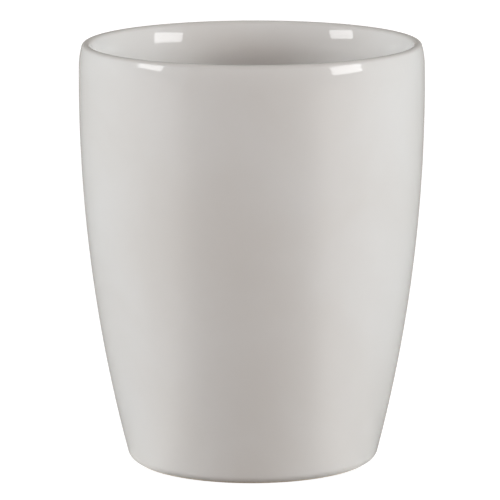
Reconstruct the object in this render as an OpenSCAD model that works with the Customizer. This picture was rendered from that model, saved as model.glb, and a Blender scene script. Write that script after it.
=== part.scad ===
// Glazed ceramic tumbler for a washbasin.
// The pot is turned about Z and stands on the table plane z = 0, with its axis on the origin.
// One path runs from the glaze edge at the heel, up the long wall, over the lip and down to the
// middle of the floor. The glaze lies between that path and the same path set in by the glaze
// thickness. The fired clay fills what is left, down to the bare ring that the tumbler stands on.

/* [Outside] */
// Widest diameter of the tumbler, over the glaze
outer_d = 82; // [76:1:90]
// Height from the table to the top of the lip
height = 100.4; // [95:0.1:108]
// Distance from the top of the lip down to the widest place
belly_drop = 11.1; // [9.5:0.1:16]
// Radius of the long curve of the outside wall, seen from the side
wall_curve_r = 352; // [300:1:420]
// Rounding where the outside wall turns under to the foot
heel_r = 2.7; // [1.8:0.1:3.2]

/* [Wall] */
// Thickness of the wall at its widest place, over both glazes
wall_top_t = 3.8; // [3.4:0.1:4.4]
// Thickness of the wall low down, where the rounding to the floor begins, over both glazes
wall_low_t = 5; // [4.2:0.1:5.8]

/* [Lip] */
// Radius of the soft shoulder by which the outside leans in to the lip
shoulder_r = 17.3; // [14:0.1:20]
// Lean of the shoulder where it meets the rounded edge of the lip, in degrees
shoulder_lean = 15.7; // [12:0.1:18]
// Rounding of the edge of the lip
lip_r = 1.05; // [0.9:0.05:1.2]
// Radius of the flare by which the inside opens out to the lip
flare_r = 20; // [16:0.5:24]

/* [Floor] */
// Thickness of the floor in the middle, over both glazes
floor_t = 5; // [4:0.1:6.5]
// Rounding between the wall and the floor, inside
well_r = 9; // [6:0.5:12]

/* [Foot] */
// Width of the bare ring that the tumbler stands on
foot_ring_w = 3.6; // [2.6:0.1:5]
// Distance from the glaze edge in to the outer edge of the ring
foot_setback = 0.5; // [0.4:0.1:0.8]
// Height of the hollow inside the ring, from the table to its glazed ceiling
recess_h = 1.6; // [1.2:0.1:2.4]
// Slope of the side of the hollow, in degrees from the table
recess_slope = 50; // [40:5:60]
// Rounding between the side of the hollow and its ceiling, over the glaze
recess_r = 1.2; // [0.8:0.1:1.4]
// Rounding of both edges of the ring
foot_edge_r = 0.4; // [0.2:0.05:0.45]

/* [Glaze] */
// Thickness of the glaze
glaze_t = 0.35; // [0.2:0.05:0.4]
// Height of the lower edge of the outside glaze above the table
glaze_edge_h = 0.4; // [0.3:0.05:0.6]

/* [Hidden] */

// Sides of a full turn, and the most that a straight step of the profile strays from its curve
$fn = 128;
stray = 0.012;

// Colours of the glaze and of the bare clay
glaze_colour = [0.78, 0.77, 0.75];
clay_colour = [0.85, 0.82, 0.77];

// Height of the widest place above the table
belly_h = height - belly_drop;

// Both wall curves have their centres at the height of the belly. A small circle touches one of
// them from within where its centre is nearer to that centre than the curve, by its own radius.
// These give the small circle's place across and the angle at which it touches.
function touch_x(curve_x, reach, z) = curve_x + sqrt(reach * reach - (z - belly_h) * (z - belly_h));
function touch_a(reach, z) = asin((z - belly_h) / reach);

// Direction from one point to another, one unit long
function unit(p, q) = (q - p) / norm(q - p);

// Angle of the direction from one point to another
function heading(p, q) = atan2(q.y - p.y, q.x - p.x);

// Place at known distances from two others, below the line from the first to the second
function meet(p, reach_p, q, reach_q) =
    let (
        along = unit(p, q),
        span = norm(q - p),
        run = (reach_p * reach_p - reach_q * reach_q + span * span) / (2 * span)
    )
    p + run * along + sqrt(reach_p * reach_p - run * run) * [along.y, -along.x];

// Outside wall, with the heel and the shoulder inside its curve and the lip inside the shoulder
wall = [outer_d / 2 - wall_curve_r, belly_h];
heel_x = touch_x(wall.x, wall_curve_r - heel_r, heel_r);
heel_a = touch_a(wall_curve_r - heel_r, heel_r);
glaze_edge_a = -asin((heel_r - glaze_edge_h) / heel_r);
lip_in_shoulder = (shoulder_r - lip_r) * [cos(shoulder_lean), sin(shoulder_lean)];
shoulder_z = height - lip_r - lip_in_shoulder.y;
shoulder = [touch_x(wall.x, wall_curve_r - shoulder_r, shoulder_z), shoulder_z];
shoulder_a = touch_a(wall_curve_r - shoulder_r, shoulder_z);
lip = shoulder + lip_in_shoulder;

// Inside wall, a tighter curve, so that the wall thickens from the belly down to the well
floor_z = recess_h + floor_t;
well_z = floor_z + well_r;
bore_top_r = outer_d / 2 - wall_top_t;
bore_low_r = touch_x(wall.x, wall_curve_r, well_z) - wall_low_t;
bore_drop = belly_h - well_z;
bore_taper = bore_top_r - bore_low_r;
bore_curve_r = (bore_drop * bore_drop + bore_taper * bore_taper) / (2 * bore_taper);
bore = [bore_top_r - bore_curve_r, belly_h];
well = [touch_x(bore.x, bore_curve_r - well_r, well_z), well_z];
well_a = touch_a(bore_curve_r - well_r, well_z);

// The flare's circle lies in the wall. It touches the bore's curve from outside and holds the
// lip's circle inside it
flare = meet(bore, bore_curve_r + flare_r, lip, flare_r - lip_r);
flare_top_a = heading(flare, lip);
bore_a = heading(bore, flare);

// Edges of the bare ring, where its sides meet the table plane
foot_out_x = heel_x + heel_r * cos(glaze_edge_a) - foot_setback;
foot_in_x = foot_out_x - foot_ring_w;

// Straight steps that an arc needs to stay within the stray
function arc_steps(r, sweep) = ceil(abs(sweep) / (2 * acos(1 - stray / r)));

// Points of an arc from one angle to another, without the last one
function arc(centre, r, start, end) =
    let (steps = arc_steps(r, end - start))
    [for (i = [0 : steps - 1]) let (a = start + (end - start) * i / steps) centre + r * [cos(a), sin(a)]];

// The glazed surface from the heel to the middle of the floor, set in by a depth
function skin(depth) = concat(
    arc([heel_x, heel_r], heel_r - depth, glaze_edge_a, heel_a),
    arc(wall, wall_curve_r - depth, heel_a, 0),
    arc(wall, wall_curve_r - depth, 0, shoulder_a),
    arc(shoulder, shoulder_r - depth, shoulder_a, shoulder_lean),
    arc(lip, lip_r - depth, shoulder_lean, 90),
    arc(lip, lip_r - depth, 90, flare_top_a),
    arc(flare, flare_r - depth, flare_top_a, 180 + bore_a),
    arc(bore, bore_curve_r + depth, bore_a, well_a),
    arc(well, well_r + depth, well_a, -90),
    [[well.x, floor_z - depth], [0, floor_z - depth]]
);

// Points that round the middle corner of the path p, q, s
function corner(p, q, s, r) =
    let (
        back = unit(q, p),
        onward = unit(q, s),
        opening = acos(back * onward),
        centre = q + unit([0, 0], back + onward) * r / sin(opening / 2),
        spoke = q + back * r / tan(opening / 2) - centre,
        start = atan2(spoke.y, spoke.x),
        sweep = (cross(back, onward) < 0 ? 1 : -1) * (180 - opening),
        steps = arc_steps(r, sweep)
    )
    [for (i = [0 : steps]) let (a = start + sweep * i / steps) centre + r * [cos(a), sin(a)]];

// Top and bottom of the straight side of the hollow, before rounding, set into the clay by a depth
function side_low(depth) = [foot_in_x - (glaze_t - depth) / sin(recess_slope), 0];
function side_top(depth) = side_low(depth) + (recess_h + depth) * [-1 / tan(recess_slope), 1];

// The ceiling of the hollow and the rounding to its side, set into the clay by a depth
function ceiling_skin(depth) = concat(
    [[0, recess_h + depth]],
    corner([0, recess_h + depth], side_top(depth), side_low(depth), recess_r + depth)
);

// The bare ring, from the side of the hollow to the glaze edge at the heel
function foot_ring() =
    let (inner = side_low(glaze_t), outer = [foot_out_x, 0])
    concat(
        corner(side_top(glaze_t), inner, outer, foot_edge_r),
        corner(inner, outer, skin(glaze_t)[0], foot_edge_r)
    );

// A path in the opposite order
function reversed(path) = [for (i = [len(path) - 1 : -1 : 0]) path[i]];

// Fired clay body: wall, lip, floor and foot ring in one piece
module ceramic_body() {
    color(clay_colour)
    rotate_extrude()
    polygon(concat(ceiling_skin(glaze_t), foot_ring(), skin(glaze_t)));
}

// Glaze over the outside, the lip and the inside, as one unbroken coat
module glaze_coat() {
    color(glaze_colour)
    rotate_extrude()
    polygon(concat(skin(0), reversed(skin(glaze_t))));
}

// Glaze on the ceiling of the hollow, parted from the coat by the bare ring
module underside_glaze() {
    color(glaze_colour)
    rotate_extrude()
    polygon(concat(ceiling_skin(0), reversed(ceiling_skin(glaze_t))));
}

ceramic_body();
glaze_coat();
underside_glaze();
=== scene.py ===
"""Glazed ceramic tumbler: its looks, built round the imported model.

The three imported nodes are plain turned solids. Here each is turned again with a finer mesh, a
rounded glaze edge and the small unevenness of a fired pot, and gets its glaze or bare clay.
All lengths are in metres.
"""

import math

import bpy
from mathutils import Matrix, Vector, noise


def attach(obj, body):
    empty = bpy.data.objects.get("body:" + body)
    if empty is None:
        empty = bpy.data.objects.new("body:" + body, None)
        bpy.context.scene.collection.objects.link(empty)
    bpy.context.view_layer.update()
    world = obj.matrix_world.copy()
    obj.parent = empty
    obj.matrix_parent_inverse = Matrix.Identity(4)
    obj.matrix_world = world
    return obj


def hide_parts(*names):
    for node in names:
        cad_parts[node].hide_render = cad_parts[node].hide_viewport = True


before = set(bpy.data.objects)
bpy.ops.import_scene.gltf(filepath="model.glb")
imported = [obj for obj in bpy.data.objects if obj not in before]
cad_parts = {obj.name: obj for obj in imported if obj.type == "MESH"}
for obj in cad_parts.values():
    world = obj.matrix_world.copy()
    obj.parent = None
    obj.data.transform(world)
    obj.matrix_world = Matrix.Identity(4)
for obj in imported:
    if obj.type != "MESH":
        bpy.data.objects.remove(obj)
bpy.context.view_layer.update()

MM = 0.001

# sizes of the tumbler
OUTER_D = 82 * MM
HEIGHT = 100.4 * MM
BELLY_DROP = 11.1 * MM
WALL_CURVE_R = 352 * MM
HEEL_R = 2.7 * MM

WALL_TOP_T = 3.8 * MM
WALL_LOW_T = 5 * MM

SHOULDER_R = 17.3 * MM
SHOULDER_LEAN = math.radians(15.7)
LIP_R = 1.05 * MM
FLARE_R = 20 * MM

FLOOR_T = 5 * MM
WELL_R = 9 * MM

FOOT_RING_W = 3.6 * MM
FOOT_SETBACK = 0.5 * MM
RECESS_H = 1.6 * MM
RECESS_SLOPE = math.radians(50)
RECESS_R = 1.2 * MM
FOOT_EDGE_R = 0.4 * MM

GLAZE_T = 0.35 * MM
GLAZE_EDGE_H = 0.4 * MM

# fineness of the meshes
SIDES = 288
FINE_STEP = 0.8 * MM
FINE_TURN = math.radians(6)
HEEL_STEPS = 12
SMOOTH_BELOW = math.radians(32)
ON_AXIS_R = 1e-9

# rounded edge of the glaze
BEAD_STEPS = 8
BEAD_BULGE = 0.8

# wander of the glaze edge: waves round the foot, each as count, size and turn
GLAZE_EDGE_WANDER = 0.22 * MM
WANDER_MIDDLE = 0.36
WANDER_SPREAD = 0.5
WANDER_WAVES = ((3, 0.30, 0.4), (7, 0.17, 1.9), (13, 0.11, 4.1), (29, 0.06, 2.7))

# warp of the fired wall, which grows from nothing at the foot and at the axis
WARP = 0.05 * MM
WARP_WAVE = 45 * MM
WARP_FULL_H = HEIGHT / 3
WARP_FULL_R = OUTER_D / 4

# noise levels between which the roughness of glaze and clay goes from one end to the other
PATCH_SPAN = (0.3, 0.7)

# glaze: lump sizes, bump depths and the zone at the top of the lip where shade is painted into the glaze
# colour
GLAZE_IOR = 1.5
GLAZE_ROUGHNESS = (0.02, 0.04)
GLAZE_PATCH = 9 * MM
CLOUD = 30 * MM
CLOUD_SPAN = (0.35, 0.65)
RIPPLE = 5 * MM
RIPPLE_DEPTH = 0.003 * MM
PEEL = 1.1 * MM
PEEL_DEPTH = 0.0006 * MM
LIP_SHADE_FROM_H = HEIGHT - 0.9 * MM
LIP_SHADE_FULL_H = HEIGHT - 0.1 * MM
LIP_SHADE_SHARE = 0.45

# bare clay: lump sizes, bump depth and the scuffs where it stands on the table
CLAY_ROUGHNESS = (0.72, 0.9)
CLAY_PATCH = 1.5 * MM
GRAIN = 0.35 * MM
GRAIN_SPAN = (0.38, 0.62)
GRIT = 0.22 * MM
GRIT_DEPTH = 0.03 * MM
SCUFF = 2.2 * MM
SCUFF_SPAN = (0.48, 0.66)
SCUFF_SHARE = 0.7
SCUFF_FROM_H = 0.08 * MM
SCUFF_FULL_H = 0.01 * MM

# colours, as sRGB values
GLAZE_LIGHT = (219, 216, 212)
GLAZE_WARM = (216, 212, 207)
# painted shade: the darker colour laid over the top of the lip
GLAZE_LIP_SHADE = (188, 179, 170)
CLAY_PALE = (222, 213, 198)
CLAY_DARK = (203, 191, 173)
CLAY_WORN = (176, 165, 150)
FLOOR_PALE = (246, 246, 245)
FLOOR_BOUNCE = (189, 186, 183)
KEY_TINT = (241, 249, 255)
FILL_TINT = (255, 229, 220)
CARD_TINT = (255, 249, 240)
WHITE = (255, 255, 255)

# camera, fitted to the photograph
CAMERA_DISTANCE = 1.0
CAMERA_ELEVATION = math.radians(10.58)
CAMERA_ROLL = math.radians(0.15)
CAMERA_LENS_MM = 301.6
CAMERA_SENSOR_MM = 36
CAMERA_SHIFT = (-0.0046, 0.0012)
CAMERA_CLIP = (0.01, 20)


def linear(srgb):
    """A colour in 0-255 sRGB values as linear RGBA."""
    shares = [c / 255 for c in srgb]
    return tuple(s / 12.92 if s <= 0.04045 else ((s + 0.055) / 1.055) ** 2.4 for s in shares) + (1,)


# the turned profile
def point(centre, r, angle):
    return Vector((centre.x + r * math.cos(angle), centre.y + r * math.sin(angle)))


def heading(a, b):
    return math.atan2(b.y - a.y, b.x - a.x)


def arc(centre, r, start, end, steps=0):
    """Points of an arc from one angle to another, without the last one."""
    turn = abs(end - start)
    steps = steps or max(1, math.ceil(turn / FINE_TURN), math.ceil(turn * r / FINE_STEP))
    return [point(centre, r, start + (end - start) * i / steps) for i in range(steps)]


def straight(a, b):
    """Points of a straight run from one point to another, without the last one."""
    steps = max(1, math.ceil((b - a).length / FINE_STEP))
    return [a.lerp(b, i / steps) for i in range(steps)]


def corner(p, q, s, r):
    """Points that round the middle corner of the path p, q, s."""
    back = (p - q).normalized()
    onward = (s - q).normalized()
    opening = math.acos(back.dot(onward))
    centre = q + (back + onward).normalized() * (r / math.sin(opening / 2))
    spoke = q + back * (r / math.tan(opening / 2)) - centre
    start = math.atan2(spoke.y, spoke.x)
    side = back.x * onward.y - back.y * onward.x
    sweep = math.copysign(math.pi - opening, -side)
    return arc(centre, r, start, start + sweep) + [point(centre, r, start + sweep)]


def meet(p, reach_p, q, reach_q):
    """The place at known distances from two others, below the line from the first to the second."""
    along = (q - p).normalized()
    span = (q - p).length
    run = (reach_p ** 2 - reach_q ** 2 + span ** 2) / (2 * span)
    rise = math.sqrt(reach_p ** 2 - run ** 2)
    return p + along * run + Vector((along.y, -along.x)) * rise


class Profile:
    """Centres and angles of the arcs that make up the glazed surface."""

    def __init__(self):
        self.belly_h = HEIGHT - BELLY_DROP
        self.wall = Vector((OUTER_D / 2 - WALL_CURVE_R, self.belly_h))
        self.heel = self.inside(self.wall, WALL_CURVE_R - HEEL_R, HEEL_R)
        self.heel_a = heading(self.wall, self.heel)
        self.glaze_edge_a = -math.asin((HEEL_R - GLAZE_EDGE_H) / HEEL_R)
        lean = Vector((math.cos(SHOULDER_LEAN), math.sin(SHOULDER_LEAN))) * (SHOULDER_R - LIP_R)
        self.shoulder = self.inside(self.wall, WALL_CURVE_R - SHOULDER_R, HEIGHT - LIP_R - lean.y)
        self.shoulder_a = heading(self.wall, self.shoulder)
        self.lip = self.shoulder + lean

        self.floor_z = RECESS_H + FLOOR_T
        well_z = self.floor_z + WELL_R
        top_r = OUTER_D / 2 - WALL_TOP_T
        taper = top_r - (self.inside(self.wall, WALL_CURVE_R, well_z).x - WALL_LOW_T)
        drop = self.belly_h - well_z
        self.bore_curve_r = (drop ** 2 + taper ** 2) / (2 * taper)
        self.bore = Vector((top_r - self.bore_curve_r, self.belly_h))
        self.well = self.inside(self.bore, self.bore_curve_r - WELL_R, well_z)
        self.well_a = heading(self.bore, self.well)

        self.flare = meet(self.bore, self.bore_curve_r + FLARE_R, self.lip, FLARE_R - LIP_R)
        self.flare_top_a = heading(self.flare, self.lip)
        self.bore_a = heading(self.bore, self.flare)

    def inside(self, curve, reach, z):
        """The centre, at a height, of a circle that touches a wall curve from within."""
        return Vector((curve.x + math.sqrt(reach ** 2 - (z - curve.y) ** 2), z))

    def heel_arc(self, depth, start):
        return arc(self.heel, HEEL_R - depth, start, self.heel_a, HEEL_STEPS)

    def above_heel(self, depth):
        """The glazed surface from the heel up, over the lip and down to the floor's middle."""
        path = arc(self.wall, WALL_CURVE_R - depth, self.heel_a, 0)
        path += arc(self.wall, WALL_CURVE_R - depth, 0, self.shoulder_a)
        path += arc(self.shoulder, SHOULDER_R - depth, self.shoulder_a, SHOULDER_LEAN)
        path += arc(self.lip, LIP_R - depth, SHOULDER_LEAN, math.pi / 2)
        path += arc(self.lip, LIP_R - depth, math.pi / 2, self.flare_top_a)
        path += arc(self.flare, FLARE_R - depth, self.flare_top_a, math.pi + self.bore_a)
        path += arc(self.bore, self.bore_curve_r + depth, self.bore_a, self.well_a)
        path += arc(self.well, WELL_R + depth, self.well_a, -math.pi / 2)
        middle = Vector((0, self.floor_z - depth))
        return path + straight(Vector((self.well.x, middle.y)), middle) + [middle]

    def foot_edges(self):
        """Outer and inner edge of the bare ring, before rounding."""
        out = self.heel.x + HEEL_R * math.cos(self.glaze_edge_a) - FOOT_SETBACK
        return Vector((out, 0)), Vector((out - FOOT_RING_W, 0))

    def recess_side(self, depth):
        """Bottom and top of the side of the hollow, set into the clay by a depth."""
        low = self.foot_edges()[1] - Vector(((GLAZE_T - depth) / math.sin(RECESS_SLOPE), 0))
        rise = RECESS_H + depth
        return low, low + Vector((-rise / math.tan(RECESS_SLOPE), rise))

    def ceiling(self, depth):
        """The ceiling of the hollow and the rounding to its side, from the middle outward."""
        middle = Vector((0, RECESS_H + depth))
        low, top = self.recess_side(depth)
        rounding = corner(middle, top, low, RECESS_R + depth)
        return straight(middle, rounding[0]) + rounding

    def foot_ring(self):
        """The bare ring, from the side of the hollow to the glaze edge at the heel."""
        outer = self.foot_edges()[0]
        low, top = self.recess_side(GLAZE_T)
        heel_start = point(self.heel, HEEL_R - GLAZE_T, self.glaze_edge_a)
        inner_round = corner(top, low, outer, FOOT_EDGE_R)
        outer_round = corner(low, outer, heel_start, FOOT_EDGE_R)
        side = straight(self.ceiling(GLAZE_T)[-1], inner_round[0])[1:]
        face = straight(inner_round[-1], outer_round[0])[1:]
        return side + inner_round + face + outer_round


# turned meshes
def warp(r, z, angle):
    """Shift of the fired wall from a true circle, always inward and so never above 0."""
    place = Vector((math.cos(angle) * OUTER_D / 2, math.sin(angle) * OUTER_D / 2, z)) / WARP_WAVE
    rise = min(1, z / WARP_FULL_H)
    spread = min(1, r / WARP_FULL_R)
    return -WARP * rise * spread * (0.5 + 0.5 * noise.noise(place))


def turned(name, paths, closed_path):
    """A piece turned from one path of (r, z) points for each side of the turn."""
    verts = []
    index = []
    first_path = paths[0]
    count = len(first_path)
    for step, path in enumerate(paths):
        angle = 2 * math.pi * step / len(paths)
        row = []
        for place, p in enumerate(path):
            on_axis = first_path[place].x < ON_AXIS_R
            if on_axis and step > 0:
                row.append(index[0][place])
                continue
            r = p.x if on_axis else p.x + warp(p.x, p.y, angle)
            verts.append((r * math.cos(angle), r * math.sin(angle), p.y))
            row.append(len(verts) - 1)
        index.append(row)
    faces = []
    spans = count if closed_path else count - 1
    for step in range(len(paths)):
        here = index[step]
        there = index[(step + 1) % len(paths)]
        for i in range(spans):
            j = (i + 1) % count
            corners = [here[i], there[i], there[j], here[j]]
            face = [v for k, v in enumerate(corners) if v not in corners[:k]]
            if len(face) > 2:
                faces.append(face)
    mesh = bpy.data.meshes.new(name)
    mesh.from_pydata(verts, [], faces)
    mesh.validate()
    mesh.set_sharp_from_angle(angle=SMOOTH_BELOW)
    piece = bpy.data.objects.new(name, mesh)
    bpy.context.scene.collection.objects.link(piece)
    return piece


def all_round(path_at):
    """The path at each side of the turn."""
    return [path_at(2 * math.pi * step / SIDES) for step in range(SIDES)]


def edge_wander(angle):
    """Share from 0 to 1 by which the glaze edge lies higher at an angle round the foot."""
    waves = sum(size * math.sin(count * angle + turn) for count, size, turn in WANDER_WAVES)
    return WANDER_MIDDLE + WANDER_SPREAD * waves


def rounded_edge(skin_end, clay_end, outward):
    """Points of the bead by which a glaze ends, from the clay side to the skin side."""
    middle = (skin_end + clay_end) / 2
    reach = (skin_end - clay_end) / 2
    turns = [math.pi * i / BEAD_STEPS for i in range(1, BEAD_STEPS)]
    bulge = outward * reach.length * BEAD_BULGE
    return [middle - reach * math.cos(t) + bulge * math.sin(t) for t in turns]


def glaze_coat_path(profile, angle):
    """The section of the coat: round its lower edge, along the surface and back along the clay."""
    wander = GLAZE_EDGE_WANDER * edge_wander(angle) / HEEL_R
    start = profile.glaze_edge_a + wander + GLAZE_T / HEEL_R / 2
    outer = profile.heel_arc(0, start)
    inner = profile.heel_arc(GLAZE_T, start)
    downward = Vector((math.sin(start), -math.cos(start)))
    bead = rounded_edge(outer[0], inner[0], downward)
    skin = outer + profile.above_heel(0)
    backing = inner + profile.above_heel(GLAZE_T)
    return bead + skin + backing[::-1]


def underside_path(profile, _angle):
    """The section of the glaze in the hollow: out along the surface and back along the clay."""
    skin = profile.ceiling(0)
    backing = profile.ceiling(GLAZE_T)
    return skin + backing[::-1]


def body_path(profile, _angle):
    """The section of the clay: along the hollow, round the foot, up, over the lip and down."""
    clay = profile.ceiling(GLAZE_T) + profile.foot_ring()
    return clay + profile.heel_arc(GLAZE_T, profile.glaze_edge_a) + profile.above_heel(GLAZE_T)


# node materials
class Nodes:
    """A new material and short calls that add its nodes."""

    def __init__(self, name):
        self.material = bpy.data.materials.new(name)
        self.material.use_nodes = True
        self.tree = self.material.node_tree
        self.tree.nodes.clear()
        self.output = self.add("ShaderNodeOutputMaterial")

    def add(self, kind, **values):
        node = self.tree.nodes.new(kind)
        for key, value in values.items():
            setattr(node, key, value)
        return node

    def link(self, source, target):
        self.tree.links.new(source, target)

    def place(self):
        return self.add("ShaderNodeTexCoord").outputs["Object"]

    def noise(self, size, detail=2, roughness=0.5, distortion=0):
        """Noise whose lumps measure about the given size in metres."""
        node = self.add("ShaderNodeTexNoise")
        self.link(self.place(), node.inputs["Vector"])
        node.inputs["Scale"].default_value = 1 / size
        node.inputs["Detail"].default_value = detail
        node.inputs["Roughness"].default_value = roughness
        node.inputs["Distortion"].default_value = distortion
        return node.outputs["Fac"]

    def span(self, source, low, high, to_low=0, to_high=1):
        """A value spread from one span to another, without overshoot."""
        node = self.add("ShaderNodeMapRange")
        self.link(source, node.inputs["Value"])
        for key, value in (("From Min", low), ("From Max", high), ("To Min", to_low), ("To Max", to_high)):
            node.inputs[key].default_value = value
        return node.outputs["Result"]

    def product(self, a, b):
        node = self.add("ShaderNodeMath", operation="MULTIPLY")
        self.link(a, node.inputs[0])
        self.link(b, node.inputs[1])
        return node.outputs["Value"]

    def mixed(self, share, a, b):
        """A colour between two, each an sRGB triple or another node's colour."""
        node = self.add("ShaderNodeMix", data_type="RGBA")
        self.link(share, node.inputs["Factor"])
        colours = [s for s in node.inputs if s.type == "RGBA"]
        for socket, colour in zip(colours, (a, b)):
            if isinstance(colour, tuple):
                socket.default_value = linear(colour)
            else:
                self.link(colour, socket)
        return [s for s in node.outputs if s.type == "RGBA"][0]

    def bump(self, height, depth, below=None):
        """A bump whose full height measures the given depth in metres."""
        node = self.add("ShaderNodeBump")
        self.link(height, node.inputs["Height"])
        node.inputs["Distance"].default_value = depth
        if below is not None:
            self.link(below, node.inputs["Normal"])
        return node.outputs["Normal"]


def glaze_material():
    n = Nodes("glaze")
    shader = n.add("ShaderNodeBsdfPrincipled")
    n.link(shader.outputs["BSDF"], n.output.inputs["Surface"])
    parts = n.add("ShaderNodeSeparateXYZ")
    n.link(n.place(), parts.inputs["Vector"])
    height = parts.outputs["Z"]

    clouds = n.span(n.noise(CLOUD, detail=3, distortion=0.4), *CLOUD_SPAN)
    colour = n.mixed(clouds, GLAZE_LIGHT, GLAZE_WARM)
    # painted shade: the glaze colour is darkened over the top of the lip
    lip_shade = n.span(height, LIP_SHADE_FROM_H, LIP_SHADE_FULL_H, 0, LIP_SHADE_SHARE)
    colour = n.mixed(lip_shade, colour, GLAZE_LIP_SHADE)
    n.link(colour, shader.inputs["Base Color"])

    roughness = n.span(n.noise(GLAZE_PATCH), *PATCH_SPAN, *GLAZE_ROUGHNESS)
    n.link(roughness, shader.inputs["Roughness"])
    shader.inputs["IOR"].default_value = GLAZE_IOR
    ripple = n.bump(n.noise(RIPPLE, detail=1), RIPPLE_DEPTH)
    peel = n.bump(n.noise(PEEL, detail=1), PEEL_DEPTH, ripple)
    n.link(peel, shader.inputs["Normal"])
    return n.material


def clay_material():
    n = Nodes("bare_clay")
    shader = n.add("ShaderNodeBsdfPrincipled")
    n.link(shader.outputs["BSDF"], n.output.inputs["Surface"])
    parts = n.add("ShaderNodeSeparateXYZ")
    n.link(n.place(), parts.inputs["Vector"])

    grains = n.span(n.noise(GRAIN, detail=3, roughness=0.6), *GRAIN_SPAN)
    colour = n.mixed(grains, CLAY_PALE, CLAY_DARK)
    touching = n.span(parts.outputs["Z"], SCUFF_FROM_H, SCUFF_FULL_H)
    scuffs = n.span(n.noise(SCUFF, detail=4, roughness=0.65), *SCUFF_SPAN, 0, SCUFF_SHARE)
    colour = n.mixed(n.product(touching, scuffs), colour, CLAY_WORN)
    n.link(colour, shader.inputs["Base Color"])

    roughness = n.span(n.noise(CLAY_PATCH), *PATCH_SPAN, *CLAY_ROUGHNESS)
    n.link(roughness, shader.inputs["Roughness"])
    grit = n.bump(n.noise(GRIT, detail=2), GRIT_DEPTH)
    n.link(grit, shader.inputs["Normal"])
    return n.material


# the pieces: name, node that it replaces, slot, material, path, and whether the path is a closed
# loop or runs from the axis to the axis
profile = Profile()
glaze = glaze_material()
clay = clay_material()

PIECES = (
    ("tumbler_glaze", "glaze_coat", "glaze", glaze, glaze_coat_path, True),
    ("foot_glaze", "underside_glaze", "glaze", glaze, underside_path, False),
    ("fired_body", "ceramic_body", "bare_clay", clay, body_path, False),
)

for piece_name, node_name, slot, material, path_of, closed_path in PIECES:
    paths = all_round(lambda angle: path_of(profile, angle))
    piece = turned(piece_name, paths, closed_path)
    piece.data.materials.append(material)
    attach(piece, "root")
    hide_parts(node_name)

# floor and world
FLOOR_R = 1.3
FLOOR_SIDES = 96
FLOOR_GLOW = 0.88
FLOOR_LIT_SHARE = 0.32
WORLD_LEVEL = 0.1
WORLD_SEEN_LEVEL = 1


def seen_directly(nodes, links):
    """1 for rays that come from the camera, a mirror reflection or glass, and 0 for the others."""
    light_path = nodes.new("ShaderNodeLightPath")
    either = nodes.new("ShaderNodeMath")
    either.operation = "MAXIMUM"
    links.new(light_path.outputs["Is Camera Ray"], either.inputs[0])
    links.new(light_path.outputs["Is Glossy Ray"], either.inputs[1])
    any_of = nodes.new("ShaderNodeMath")
    any_of.operation = "MAXIMUM"
    links.new(either.outputs["Value"], any_of.inputs[0])
    links.new(light_path.outputs["Is Transmission Ray"], any_of.inputs[1])
    return any_of.outputs["Value"]


def floor_material():
    """Pale where it is seen directly, with the lamps' light and the shadow over an even glow."""
    n = Nodes("floor")
    lit = n.add("ShaderNodeBsdfDiffuse")
    lit.inputs["Color"].default_value = [FLOOR_LIT_SHARE * c for c in linear(FLOOR_PALE)]
    glow = n.add("ShaderNodeEmission")
    glow.inputs["Strength"].default_value = FLOOR_GLOW
    pale = n.add("ShaderNodeAddShader")
    n.link(lit.outputs["BSDF"], pale.inputs[0])
    n.link(glow.outputs["Emission"], pale.inputs[1])
    bounce = n.add("ShaderNodeBsdfDiffuse")
    bounce.inputs["Color"].default_value = linear(FLOOR_BOUNCE)
    chosen = n.add("ShaderNodeMixShader")
    n.link(seen_directly(n.tree.nodes, n.tree.links), chosen.inputs["Fac"])
    n.link(bounce.outputs["BSDF"], chosen.inputs[1])
    n.link(pale.outputs["Shader"], chosen.inputs[2])
    n.link(chosen.outputs["Shader"], n.output.inputs["Surface"])
    return n.material


def make_floor():
    mesh = bpy.data.meshes.new("floor")
    turns = [2 * math.pi * i / FLOOR_SIDES for i in range(FLOOR_SIDES)]
    verts = [(FLOOR_R * math.cos(t), FLOOR_R * math.sin(t), 0) for t in turns]
    mesh.from_pydata(verts, [], [range(FLOOR_SIDES)])
    floor = bpy.data.objects.new("floor", mesh)
    bpy.context.scene.collection.objects.link(floor)
    mesh.materials.append(floor_material())


def make_world():
    world = bpy.data.worlds.new("studio")
    world.use_nodes = True
    nodes = world.node_tree.nodes
    links = world.node_tree.links
    nodes.clear()
    output = nodes.new("ShaderNodeOutputWorld")
    chosen = nodes.new("ShaderNodeMixShader")
    links.new(seen_directly(nodes, links), chosen.inputs["Fac"])
    for place, strength in ((1, WORLD_LEVEL), (2, WORLD_SEEN_LEVEL)):
        background = nodes.new("ShaderNodeBackground")
        background.inputs["Color"].default_value = (1, 1, 1, 1)
        background.inputs["Strength"].default_value = strength
        links.new(background.outputs["Background"], chosen.inputs[place])
    links.new(chosen.outputs["Shader"], output.inputs["Surface"])
    bpy.context.scene.world = world


# Lamps, all as far from the middle of the mouth and facing it: azimuth from the camera's side and
# elevation, in degrees; width and height; brightness, where 1 is a white that just reaches the top
# of the scale; tint; and whether the glaze mirrors it. The two windows are the bright panes that
# show in the glaze.
LAMP_DISTANCE = 1.5
WHITE_ENERGY_PER_AREA = 4
LAMPS = (
    ("window_left", -72, 16.5, 0.51, 0.28, 5, WHITE, True),
    ("window_right", 66, 13.2, 0.63, 0.32, 5, WHITE, True),
    ("key_left", -82, 15, 1.0, 0.8, 5.88, KEY_TINT, False),
    ("key_right", 75, 17, 1.0, 0.8, 5.64, KEY_TINT, False),
    ("fill", 0, 11, 1.4, 0.44, 1.52, FILL_TINT, False),
    ("fill_rear", 180, 14, 1.4, 0.6, 2.2, FILL_TINT, False),
)


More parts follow.
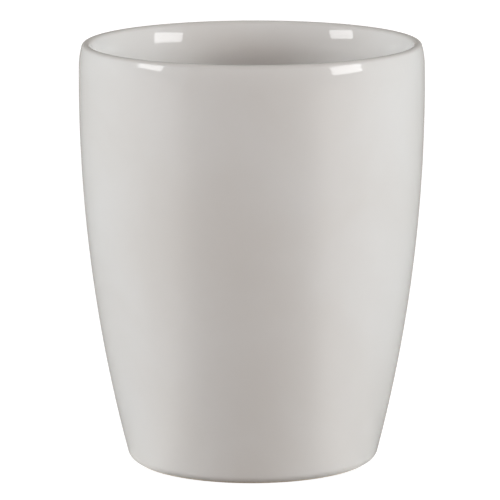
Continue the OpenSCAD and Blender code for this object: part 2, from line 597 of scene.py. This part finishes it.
def make_lamps():
    mouth = Vector((0, 0, HEIGHT))
    for name, azimuth, elevation, width, height, brightness, tint, mirrored in LAMPS:
        turn = math.radians(azimuth)
        rise = math.radians(elevation)
        level = math.cos(rise)
        away = Vector((level * math.sin(turn), -level * math.cos(turn), math.sin(rise)))
        data = bpy.data.lights.new(name, "AREA")
        data.shape = "RECTANGLE"
        data.size = width
        data.size_y = height
        data.color = linear(tint)[:3]
        data.energy = brightness * WHITE_ENERGY_PER_AREA * width * height
        lamp = bpy.data.objects.new(name, data)
        lamp.location = mouth + away * LAMP_DISTANCE
        lamp.rotation_mode = "QUATERNION"
        lamp.rotation_quaternion = away.to_track_quat("Z", "Y")
        lamp.visible_camera = False
        lamp.visible_glossy = mirrored
        bpy.context.scene.collection.objects.link(lamp)


# Cards round the pot, behind the lamps, that only its glaze mirrors: azimuths of both ends in
# degrees, points that each passes through as distance and height, and the level at each end, where
# 1 is white. The inner edges of the two panels show as soft upright lines in the glaze.
CARD_R = 1.7
CARD_LOW = 0.6 * MM
CARD_TOP = 1.5
PANEL_TOP = 0.19
NEAR = (29 * MM, CARD_LOW)
MIDWAY = (1.0, CARD_LOW)
CORNER = (CARD_R, CARD_LOW)
PANEL_END = (CARD_R, PANEL_TOP)
END = (CARD_R, CARD_TOP)
HUB = (1 * MM, CARD_TOP)
CARDS = (
    ("card_front", -36, 30, (NEAR, CORNER, END), 0.2, 0.2),
    ("floor_left", -54, -36, (NEAR, CORNER), 0.95, 0.2),
    ("floor_side_left", -62, -54, (NEAR, CORNER), 0.9, 0.95),
    ("card_over_floor_left", -62, -36, (CORNER, END), 0.25, 0.2),
    ("panel_left", -90, -62, (NEAR, CORNER, PANEL_END), 0.55, 0.75),
    ("card_over_left", -90, -62, (PANEL_END, END), 0.25, 0.25),
    ("card_left", -112, -90, (NEAR, CORNER, END), 0.4, 0.4),
    ("floor_right", 30, 48, (NEAR, MIDWAY), 0.2, 0.95),
    ("floor_side_right", 48, 61.5, (NEAR, MIDWAY), 0.95, 0.8),
    ("card_over_floor_right", 30, 61.5, (MIDWAY, CORNER, END), 0.2, 0.25),
    ("panel_right", 61.5, 90, (NEAR, MIDWAY), 0.6, 0.4),
    ("card_over_right", 61.5, 90, (MIDWAY, CORNER, END), 0.25, 0.25),
    ("card_right", 90, 112, (NEAR, CORNER, END), 0.3, 0.3),
    ("card_rear", 112, 248, (NEAR, CORNER, END), 0.36, 0.36),
    ("card_above", 0, 360, (HUB, END), 0.5, 0.5),
)
CARD_STEP = math.radians(6)


def card_material():
    """A glow as bright as the level kept at each point of the card."""
    n = Nodes("card")
    level = n.add("ShaderNodeAttribute", attribute_name="level")
    glow = n.add("ShaderNodeEmission")
    glow.inputs["Color"].default_value = linear(CARD_TINT)
    n.link(level.outputs["Fac"], glow.inputs["Strength"])
    n.link(glow.outputs["Emission"], n.output.inputs["Surface"])
    return n.material


def make_card(name, start, end, path, levels, material):
    """A card swept round the pot from one azimuth to another, from (distance, height) points."""
    count = math.ceil((end - start) / CARD_STEP)
    verts = []
    glows = []
    for i in range(count + 1):
        azimuth = start + (end - start) * i / count
        verts += [(r * math.sin(azimuth), -r * math.cos(azimuth), z) for r, z in path]
        glows += [levels[0] + (levels[1] - levels[0]) * i / count] * len(path)
    row = len(path)
    faces = []
    for i in range(count):
        for here in range(i * row, i * row + row - 1):
            faces.append((here, here + row, here + row + 1, here + 1))
    mesh = bpy.data.meshes.new(name)
    mesh.from_pydata(verts, [], faces)
    mesh.attributes.new("level", "FLOAT", "POINT").data.foreach_set("value", glows)
    mesh.materials.append(material)
    card = bpy.data.objects.new(name, mesh)
    card.visible_camera = False
    card.visible_diffuse = False
    card.visible_shadow = False
    bpy.context.scene.collection.objects.link(card)


def make_cards():
    material = card_material()
    for name, start, end, path, *levels in CARDS:
        make_card(name, math.radians(start), math.radians(end), path, levels, material)


def make_camera():
    middle = Vector((0, 0, HEIGHT / 2))
    ahead = Vector((0, math.cos(CAMERA_ELEVATION), -math.sin(CAMERA_ELEVATION)))
    level = Vector((1, 0, 0))
    upright = level.cross(ahead)
    across = level * math.cos(CAMERA_ROLL) - upright * math.sin(CAMERA_ROLL)
    up = upright * math.cos(CAMERA_ROLL) + level * math.sin(CAMERA_ROLL)
    data = bpy.data.cameras.new("camera")
    data.sensor_fit = "HORIZONTAL"
    data.sensor_width = CAMERA_SENSOR_MM
    data.lens = CAMERA_LENS_MM
    data.shift_x, data.shift_y = CAMERA_SHIFT
    data.clip_start, data.clip_end = CAMERA_CLIP
    camera = bpy.data.objects.new("camera", data)
    turn = Matrix((across, up, -ahead)).transposed().to_4x4()
    camera.matrix_world = Matrix.Translation(middle - ahead * CAMERA_DISTANCE) @ turn
    bpy.context.scene.collection.objects.link(camera)
    bpy.context.scene.camera = camera


make_floor()
make_world()
make_lamps()
make_cards()
make_camera()
bpy.context.scene.view_settings.view_transform = "Standard"
